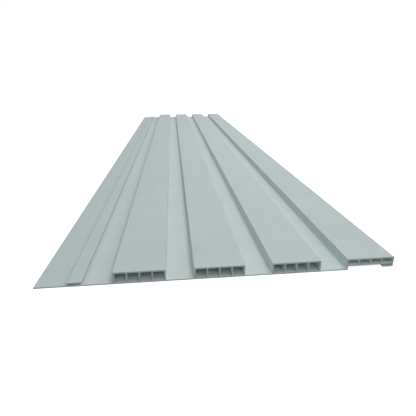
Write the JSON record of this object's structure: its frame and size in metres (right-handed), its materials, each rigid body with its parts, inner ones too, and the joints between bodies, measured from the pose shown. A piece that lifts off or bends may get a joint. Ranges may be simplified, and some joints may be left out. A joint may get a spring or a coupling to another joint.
{
  "type": "slat wall panel",
  "caption": "Hollow extruded PVC wall panel with raised slats, a lipped fixing flange on one edge and a hooked slat on the other that laps over the next panel.",
  "frame": {"origin": "middle of the panel's length and overall width, on the plane of its flat back", "axes": "+Z out of the wall, towards the slats' front faces; +Y along the length; +X across, from the lipped flange towards the hooked slat"},
  "size_m": [0.2868, 1.2, 0.01],
  "materials": {
    "pvc": "satin"
  },
  "bodies": {
    "root": {"slat_wall_panel": "pvc"}
  },
  "joints": []
}
